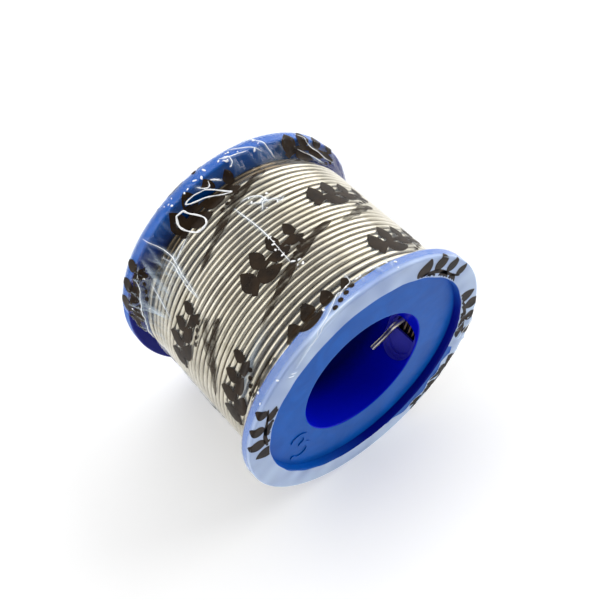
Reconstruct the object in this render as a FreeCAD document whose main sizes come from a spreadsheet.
import FreeCAD, Part
import math
import os

import Sketcher
from FreeCAD import Placement, Rotation, Vector

# A small reel of flux-cored solder wire in its shrink film.
# Frame: origin at the middle of the reel on its axis, +Y along the axis towards the
# rear flange, +Z up, so the reel lies on both rims. Millimetres.

SIZES = [
    # the two moulded halves
    ("flange_radius", 20.0),
    ("spool_width", 30.0),
    ("rim_thickness", 1.9),
    ("rim_inner_radius", 16.8),
    ("recess_depth", 1.1),
    ("recess_draft", 0.1),
    ("flange_draft", 0.2),
    ("bore_radius", 10.0),
    ("barrel_radius", 11.5),
    ("lap_radius", 10.75),
    ("lap_length", 3.0),
    ("lap_clearance", 0.03),
    ("lead_in", 0.35),
    ("rim_round", 0.35),
    ("bore_round", 0.25),
    # the hole that the wire starts from
    ("hole_centre", 4.1),
    ("hole_width", 4.4),
    ("hole_length", 6.4),
    ("hole_lip_width", 0.55),
    ("hole_lip_depth", 0.3),
    # the ramp that leads the wire into the hole, at its lower end
    ("ramp_low_depth", 0.7),
    ("ramp_high_depth", 1.05),
    ("ramp_back", 0.05),
    ("ramp_low_back", 0.5),
    ("ramp_top", 0.1),
    ("ramp_overlap", 0.1),
    # the raised cavity number
    ("digit_height", 0.15),
    ("digit_stroke", 0.75),
    ("digit_upper_radius", 1.15),
    ("digit_lower_radius", 1.45),
    # the wire and how it is wound
    ("wire_diameter", 0.8),
    ("flux_diameter", 0.32),
    ("winding_radius", 18.0),
    ("winding_gap", 0.1),
    ("finish_gap", 1.9),
    # the film
    ("film_thickness", 0.06),
    ("film_clearance", 0.12),
    ("film_bridge", 2.2),
    ("film_inset", 0.4),
]
LAYERS = 9
LEAST_CHANGE = 0.5  # a cut or an added ledge that changes less than this, in mm3, has failed
HOLE_ANGLE = 20.0  # degrees below +X, seen from the front
DIGIT_ANGLE = 230.0  # degrees round the front web, from the hole's direction
DIGIT_PLACE_RADIUS = 13.3
DIGIT_TURN = 0.0

# The wire's start, as (distance from the axis, degrees below +X, along the axis).
START_ROUTE = [
    (11.0, 7.5, -10.05),
    (9.55, 11.5, -9.75),
    (9.55, 28.0, -8.95),
    (9.55, 45.0, -8.25),
]
# The wire's finish: a stretch of the last turn, in degrees round the axis from +X up.
FINISH_FROM = 150.0
FINISH_SPAN = 70.0

doc = FreeCAD.newDocument("solder_reel")
sheet = doc.addObject("Spreadsheet::Sheet", "Sizes")
for row, (alias, value) in enumerate(SIZES, start=1):
    sheet.set(f"A{row}", alias)
    sheet.set(f"B{row}", str(value))
    sheet.setAlias(f"B{row}", alias)
doc.recompute()
size = {alias: float(sheet.get(alias)) for alias, value in SIZES}
pieces = []


def new_body(name):
    """An empty body that will be written out under its name."""
    body = doc.addObject("PartDesign::Body", name)
    body.Label = name
    pieces.append(body)
    return body


def new_sketch(body, name, plane):
    """A sketch on one of the body's own origin planes."""
    sketch = body.newObject("Sketcher::SketchObject", name)
    support = next(f for f in body.Origin.OriginFeatures if f.Role == plane)
    sketch.AttachmentSupport = [(support, "")]
    sketch.MapMode = "FlatFace"
    return sketch


def drive(sketch, constraint, label, formula):
    """Adds a constraint whose value follows a formula on the sheet."""
    index = sketch.addConstraint(constraint)
    sketch.renameConstraint(index, label)
    sketch.setExpression(f"Constraints.{label}", formula)


def outline(sketch, corners):
    """A closed outline of straight lines. Each corner is two formulas, across and up."""
    count = len(corners)
    turn = 2 * math.pi / count
    rough = [
        Vector(15 + 5 * math.cos(i * turn), 15 + 5 * math.sin(i * turn), 0)
        for i in range(count)
    ]
    for i in range(count):
        sketch.addGeometry(Part.LineSegment(rough[i], rough[(i + 1) % count]), False)
    for i in range(count):
        sketch.addConstraint(Sketcher.Constraint("Coincident", i, 2, (i + 1) % count, 1))
    for i, (across, up) in enumerate(corners):
        place_x = Sketcher.Constraint("DistanceX", -1, 1, i, 1, rough[i].x)
        place_y = Sketcher.Constraint("DistanceY", -1, 1, i, 1, rough[i].y)
        drive(sketch, place_x, f"across_{i}", across)
        drive(sketch, place_y, f"up_{i}", up)


def ring(sketch, inner, outer):
    """Two circles about the sketch's origin, with formulas for their radii."""
    for index, (label, formula) in enumerate((("inner", inner), ("outer", outer))):
        radius = 10 + 5 * index
        circle = Part.Circle(Vector(0, 0, 0), Vector(0, 0, 1), radius)
        sketch.addGeometry(circle, False)
        sketch.addConstraint(Sketcher.Constraint("Coincident", index, 3, -1, 1))
        drive(sketch, Sketcher.Constraint("Radius", index, radius), label, formula)


def revolve(body, name, sketch):
    """A full turn about the sketch's upright axis, which is the reel's axis."""
    turned = body.newObject("PartDesign::Revolution", name)
    turned.Profile = sketch
    turned.ReferenceAxis = (sketch, ["V_Axis"])
    turned.Angle = 360
    doc.recompute()
    return turned


def rim_edges(feature, radius, height):
    """The names of the round edges about the axis with this radius and height."""
    found = []
    for number, edge in enumerate(feature.Shape.Edges, start=1):
        curve = edge.Curve
        if not isinstance(curve, Part.Circle):
            continue
        on_axis = math.hypot(curve.Center.x, curve.Center.z) < 1e-4
        if not on_axis or abs(curve.Radius - radius) > 1e-4:
            continue
        if abs(curve.Center.y - height) < 1e-4:
            found.append(f"Edge{number}")
    return found


def round_edges(body, name, feature, places, radius):
    """Rounds the edges at these (radius, height) places."""
    names = [n for place in places for n in rim_edges(feature, *place)]
    fillet = body.newObject("PartDesign::Fillet", name)
    fillet.Base = (feature, names)
    fillet.setExpression("Radius", radius)
    doc.recompute()
    return fillet


def flange_half(name, tongue):
    """One moulded half: a flange and half the barrel, with the flange's outer face at
    height 0 and the barrel rising along +Y. The halves meet in a lap joint half way:
    one has a tongue inside, the other a sleeve that goes round it."""
    body = new_body(name)
    middle = "Sizes.spool_width / 2"
    far = f"{middle} + Sizes.lap_length / 2"
    near = f"{middle} - Sizes.lap_length / 2"
    flange = [
        ("Sizes.bore_radius", "Sizes.recess_depth"),
        ("Sizes.rim_inner_radius - Sizes.recess_draft", "Sizes.recess_depth"),
        ("Sizes.rim_inner_radius", "0"),
        ("Sizes.flange_radius", "0"),
        ("Sizes.flange_radius", "Sizes.rim_thickness"),
        ("Sizes.barrel_radius", "Sizes.rim_thickness + Sizes.flange_draft"),
    ]
    if tongue:
        joint = [
            ("Sizes.barrel_radius", near),
            ("Sizes.lap_radius - Sizes.lap_clearance / 2", near),
            ("Sizes.lap_radius - Sizes.lap_clearance / 2", far),
            ("Sizes.bore_radius + Sizes.lead_in", far),
            ("Sizes.bore_radius", f"{far} - Sizes.lead_in"),
        ]
    else:
        joint = [
            ("Sizes.barrel_radius", far),
            ("Sizes.lap_radius + Sizes.lap_clearance / 2", far),
            ("Sizes.lap_radius + Sizes.lap_clearance / 2", near),
            ("Sizes.bore_radius + Sizes.lead_in", near),
            ("Sizes.bore_radius", f"{near} - Sizes.lead_in"),
        ]
    profile = new_sketch(body, f"{name}_profile", "XY_Plane")
    outline(profile, flange + joint)
    turned = revolve(body, f"{name}_turned", profile)
    rims = [
        (size["flange_radius"], 0),
        (size["flange_radius"], size["rim_thickness"]),
        (size["rim_inner_radius"], 0),
    ]
    rounded = round_edges(body, f"{name}_rim_rounds", turned, rims, "Sizes.rim_round")
    mouth = [(size["bore_radius"], size["recess_depth"])]
    round_edges(body, f"{name}_bore_round", rounded, mouth, "Sizes.bore_round")
    return body


def slot_outline(sketch, width, length):
    """A slot with round ends, long along the sketch's upright, about hole_centre."""
    half = 1.0
    up = Vector(0, 0, 1)
    top = Part.ArcOfCircle(Part.Circle(Vector(4, half, 0), up, 2), 0, math.pi)
    foot = Part.ArcOfCircle(Part.Circle(Vector(4, -half, 0), up, 2), math.pi, 2 * math.pi)
    right = Part.LineSegment(Vector(6, -half, 0), Vector(6, half, 0))
    left = Part.LineSegment(Vector(2, half, 0), Vector(2, -half, 0))
    for piece in (right, top, left, foot):
        sketch.addGeometry(piece, False)
    for a, a_end, b, b_end in ((0, 2, 1, 1), (1, 2, 2, 1), (2, 2, 3, 1), (3, 2, 0, 1)):
        sketch.addConstraint(Sketcher.Constraint("Tangent", a, a_end, b, b_end))
    sketch.addConstraint(Sketcher.Constraint("Vertical", 0))
    drive(sketch, Sketcher.Constraint("Radius", 1, 2), "end_radius", f"({width}) / 2")
    centre_x = Sketcher.Constraint("DistanceX", -1, 1, 1, 3, 4)
    drive(sketch, centre_x, "centre", "Sizes.hole_centre")
    reach = f"(({length}) - ({width})) / 2"
    upper = Sketcher.Constraint("DistanceY", -1, 1, 1, 3, half)
    drive(sketch, upper, "upper_end", reach)
    lower = Sketcher.Constraint("DistanceY", 3, 3, -1, 1, half)
    drive(sketch, lower, "lower_end", reach)


def radial_pocket(body, name, width, length, reach):
    """A slot cut outwards from the axis along +X, as far as reach."""
    before = body.Tip.Shape.Volume
    sketch = new_sketch(body, f"{name}_outline", "YZ_Plane")
    slot_outline(sketch, width, length)
    pocket = body.newObject("PartDesign::Pocket", name)
    pocket.Profile = sketch
    pocket.Reversed = True
    pocket.setExpression("Length", reach)
    doc.recompute()
    if pocket.Shape.Volume > before - LEAST_CHANGE:
        raise SystemExit(f"{name} cut nothing")


def start_ramp(body):
    """A sloping ledge across the lower half of the wire's hole, just under the winding."""
    before = body.Tip.Shape.Volume
    sketch = new_sketch(body, "start_ramp_outline", "XZ_Plane")
    beside = "Sizes.hole_centre + Sizes.hole_width / 2 + Sizes.ramp_overlap"
    sketch.setExpression(".AttachmentOffset.Base.z", f"-({beside})")
    low = "-(Sizes.hole_length / 2 + Sizes.ramp_overlap)"
    top = "-Sizes.ramp_top"
    corners = [
        ("Sizes.bore_radius + Sizes.ramp_low_depth", low),
        ("Sizes.bore_radius + Sizes.ramp_high_depth", top),
        ("Sizes.barrel_radius - Sizes.ramp_back", top),
        ("Sizes.barrel_radius - Sizes.ramp_low_back", low),
    ]
    outline(sketch, corners)
    ramp = body.newObject("PartDesign::Pad", "start_ramp")
    ramp.Profile = sketch
    ramp.setExpression("Length", "Sizes.hole_width + 2 * Sizes.ramp_overlap")
    doc.recompute()
    if ramp.Shape.Volume < before + LEAST_CHANGE:
        raise SystemExit("start_ramp added nothing")


def digit_bowl(body, name, centre, radius_name, first, last):
    """One round stroke of the figure 3: part of a ring with round ends."""
    radius = size[radius_name]
    half = size["digit_stroke"] / 2
    sketch = new_sketch(body, f"{name}_outline", "XZ_Plane")
    across = DIGIT_PLACE_RADIUS * math.cos(math.radians(DIGIT_ANGLE))
    up = DIGIT_PLACE_RADIUS * math.sin(math.radians(DIGIT_ANGLE))
    tilt = Rotation(Vector(0, 0, 1), HOLE_ANGLE + DIGIT_TURN)
    sketch.AttachmentOffset = Placement(Vector(across, up, -size["recess_depth"]), tilt)
    axis = Vector(0, 0, 1)
    middle = Vector(0, centre, 0)
    start, end = math.radians(first), math.radians(last)

    def at(angle):
        return middle + Vector(radius * math.cos(angle), radius * math.sin(angle), 0)

    outer = Part.ArcOfCircle(Part.Circle(middle, axis, radius + half), start, end)
    inner = Part.ArcOfCircle(Part.Circle(middle, axis, radius - half), start, end)
    first_end = Part.ArcOfCircle(Part.Circle(at(start), axis, half), start + math.pi, start)
    last_end = Part.ArcOfCircle(Part.Circle(at(end), axis, half), end, end + math.pi)
    for piece in (outer, inner, first_end, last_end):
        sketch.addGeometry(piece, False)
    sketch.addConstraint(Sketcher.Constraint("Coincident", 0, 2, 3, 1))
    sketch.addConstraint(Sketcher.Constraint("Coincident", 3, 2, 1, 2))
    sketch.addConstraint(Sketcher.Constraint("Coincident", 1, 1, 2, 1))
    sketch.addConstraint(Sketcher.Constraint("Coincident", 2, 2, 0, 1))
    sketch.addConstraint(Sketcher.Constraint("Coincident", 0, 3, 1, 3))
    raised = body.newObject("PartDesign::Pad", name)
    raised.Profile = sketch
    raised.setExpression("Length", "Sizes.digit_height")
    doc.recompute()


def front_half():
    """The front half, with the hole for the wire's start and the cavity number."""
    body = flange_half("front_half", tongue=True)
    lip_width = "Sizes.hole_width + 2 * Sizes.hole_lip_width"
    lip_length = "Sizes.hole_length + 2 * Sizes.hole_lip_width"
    lip_reach = "Sizes.bore_radius + Sizes.hole_lip_depth"
    radial_pocket(body, "start_hole_lip", lip_width, lip_length, lip_reach)
    through = "Sizes.barrel_radius + 1"
    radial_pocket(body, "start_hole", "Sizes.hole_width", "Sizes.hole_length", through)
    start_ramp(body)
    upper = size["digit_upper_radius"]
    lower = size["digit_lower_radius"]
    digit_bowl(body, "digit_upper_bowl", upper, "digit_upper_radius", -80, 150)
    digit_bowl(body, "digit_lower_bowl", -lower, "digit_lower_radius", -155, 82)
    turned = Rotation(Vector(0, 1, 0), HOLE_ANGLE)
    body.Placement = Placement(Vector(0, -size["spool_width"] / 2, 0), turned)


def rear_half():
    """The rear half faces the other way."""
    body = flange_half("rear_half", tongue=False)
    turned = Rotation(Vector(0, 0, 1), 180)
    body.Placement = Placement(Vector(0, size["spool_width"] / 2, 0), turned)


def winding_layer(number):
    """The outer shape of one layer of turns, from flange to flange. The last layer stops
    short of the rear flange, where the wire ran out."""
    name = f"winding_layer_{number:02d}"
    body = new_body(name)
    depth = f"(Sizes.winding_radius - Sizes.barrel_radius) / {LAYERS}"
    sketch = new_sketch(body, f"{name}_rings", "XZ_Plane")
    inner = f"Sizes.barrel_radius + {number - 1} * {depth}"
    outer = f"Sizes.barrel_radius + {number} * {depth}"
    ring(sketch, inner, outer)
    pad = body.newObject("PartDesign::Pad", f"{name}_turns")
    pad.Profile = sketch
    inside = "Sizes.spool_width - 2 * (Sizes.rim_thickness + Sizes.flange_draft)"
    length = f"{inside} - 2 * Sizes.winding_gap"
    last = number == LAYERS
    pad.setExpression("Length", f"{length} - Sizes.finish_gap" if last else length)
    flange_in = size["rim_thickness"] + size["flange_draft"] + size["winding_gap"]
    front = flange_in - size["spool_width"] / 2
    doc.recompute()
    # the pad grows along the sketch's normal, -Y, so the body moves to end at the front
    body.Placement = Placement(Vector(0, front - pad.Shape.BoundBox.YMin, 0), Rotation())


def round_the_axis(radius, degrees_below, along):
    """A point at this distance from the axis, this far below +X."""
    angle = math.radians(degrees_below)
    return Vector(radius * math.cos(angle), along, -radius * math.sin(angle))


def routed_path(points):
    """Straight runs joined by tangent arcs, each as large as its two runs allow."""
    edges = []
    here = points[0]
    for i in range(1, len(points) - 1):
        back = points[i - 1] - points[i]
        on = points[i + 1] - points[i]
        reach = 0.45 * min(back.Length, on.Length)
        back.normalize()
        on.normalize()
        turn = math.pi - back.getAngle(on)
        radius = reach / math.tan(turn / 2)
        print(f"bend {i}: radius {radius:.2f} mm, turn {math.degrees(turn):.1f} degrees")
        arc_in = points[i] + back * reach
        arc_out = points[i] + on * reach
        inward = back + on
        inward.normalize()
        rise = math.hypot(radius, reach) - radius
        edges.append(Part.LineSegment(here, arc_in).toShape())
        edges.append(Part.Arc(arc_in, points[i] + inward * rise, arc_out).toShape())
        here = arc_out
    edges.append(Part.LineSegment(here, points[-1]).toShape())
    return Part.Wire(edges)


def rod_along(path, diameter):
    """A round rod that follows a path."""
    first = path.Edges[0]
    direction = first.tangentAt(first.FirstParameter)
    start = path.OrderedVertexes[0].Point
    circle = Part.Wire(Part.Circle(start, direction, diameter / 2).toShape())
    rod = path.makePipeShell([circle], True, True)
    section = math.pi * diameter**2 / 4
    print(f"rod {diameter} mm: volume / (section x length) {rod.Volume / section / path.Length:.4f}")
    return rod


def wire_start():
    """The wire's start comes in through the hole, bends and lies along the bore. The flux
    core shows in its cut end."""
    path = routed_path([round_the_axis(*point) for point in START_ROUTE])
    print(f"wire start: {path.Length:.2f} mm")
    flux = rod_along(path, size["flux_diameter"])
    metal = rod_along(path, size["wire_diameter"]).cut(flux)
    for name, shape in (("wire_start_end", metal), ("flux_core_start_end", flux)):
        piece = doc.addObject("Part::Feature", name)
        piece.Label = name
        piece.Shape = shape
        pieces.append(piece)


def wire_finish():
    """The wire's finish: the end of the last turn, against the side of the last layer."""
    layer_depth = f"(Sizes.winding_radius - Sizes.barrel_radius) / {LAYERS}"
    circle_radius = f"Sizes.winding_radius - {layer_depth} + Sizes.wire_diameter / 2"
    rods = []
    for name, diameter in (("finish_metal", "wire"), ("flux_core_finish_end", "flux")):
        rod = doc.addObject("Part::Torus", name)
        rod.setExpression("Radius1", circle_radius)
        rod.setExpression("Radius2", f"Sizes.{diameter}_diameter / 2")
        rod.Angle3 = FINISH_SPAN
        rods.append(rod)
    hole = doc.addObject("Part::Torus", "finish_flux_hole")
    hole.setExpression("Radius1", circle_radius)
    hole.setExpression("Radius2", "Sizes.flux_diameter / 2")
    hole.Angle3 = FINISH_SPAN
    metal = doc.addObject("Part::Cut", "wire_finish_end")
    metal.Base = rods[0]
    metal.Tool = hole
    inner_face = size["spool_width"] / 2 - size["rim_thickness"] - size["flange_draft"]
    beside = inner_face - size["winding_gap"] - size["finish_gap"] + size["wire_diameter"] / 2
    upright = Rotation(Vector(1, 0, 0), 90)
    start = Rotation(Vector(0, 1, 0), -FINISH_FROM)
    place = Placement(Vector(0, beside, 0), start.multiply(upright))
    for piece in (metal, rods[1]):
        piece.Label = piece.Name
        piece.Placement = place
        pieces.append(piece)


def shrink_film():
    """The film: over the rims, folded on to both rim faces, drawn down on to the wire."""
    body = new_body("shrink_film")
    film = "Sizes.film_thickness"
    half = "Sizes.spool_width / 2"
    rim = "Sizes.flange_radius"
    wire = "Sizes.winding_radius + Sizes.film_clearance"
    rim_side = f"{half} - Sizes.rim_thickness"
    foot = f"{rim_side} - Sizes.film_bridge"
    # half of the profile, from the fold's inner edge to the wire, then back outside
    inside = [
        ("Sizes.rim_inner_radius + Sizes.film_inset", half),
        (rim, half),
        (rim, rim_side),
        (wire, foot),
    ]
    outside = [
        (f"{wire} + {film}", foot),
        (f"{rim} + {film}", rim_side),
        (f"{rim} + {film}", f"{half} + {film}"),
        ("Sizes.rim_inner_radius + Sizes.film_inset", f"{half} + {film}"),
    ]
    under = [(across, f"-({up})") for across, up in inside]
    over = [(across, f"-({up})") for across, up in outside]
    corners = inside + under[::-1] + over[::-1] + outside
    profile = new_sketch(body, "film_profile", "XY_Plane")
    outline(profile, corners)
    revolve(body, "film_turned", profile)


def write_pieces():
    """Checks every object and writes each piece to its own file."""
    doc.recompute()
    for thing in doc.Objects:
        bad = [word for word in thing.State if word in ("Invalid", "Error")]
        if bad:
            raise SystemExit(f"{thing.Name} failed: {bad}")
    os.makedirs("parts", exist_ok=True)
    for piece in pieces:
        shape = piece.Shape
        if shape.isNull() or not shape.isValid():
            raise SystemExit(f"{piece.Label} has no valid shape")
        shape.exportStep(os.path.join("parts", f"{piece.Label}.step"))
        box = shape.BoundBox
        print(
            f"{piece.Label}: {len(shape.Solids)} solid, {shape.Volume:.2f} mm3, "
            f"x {box.XMin:.2f}..{box.XMax:.2f}, y {box.YMin:.2f}..{box.YMax:.2f}, "
            f"z {box.ZMin:.2f}..{box.ZMax:.2f}"
        )


front_half()
rear_half()
for layer in range(1, LAYERS + 1):
    winding_layer(layer)
wire_start()
wire_finish()
shrink_film()
write_pieces()
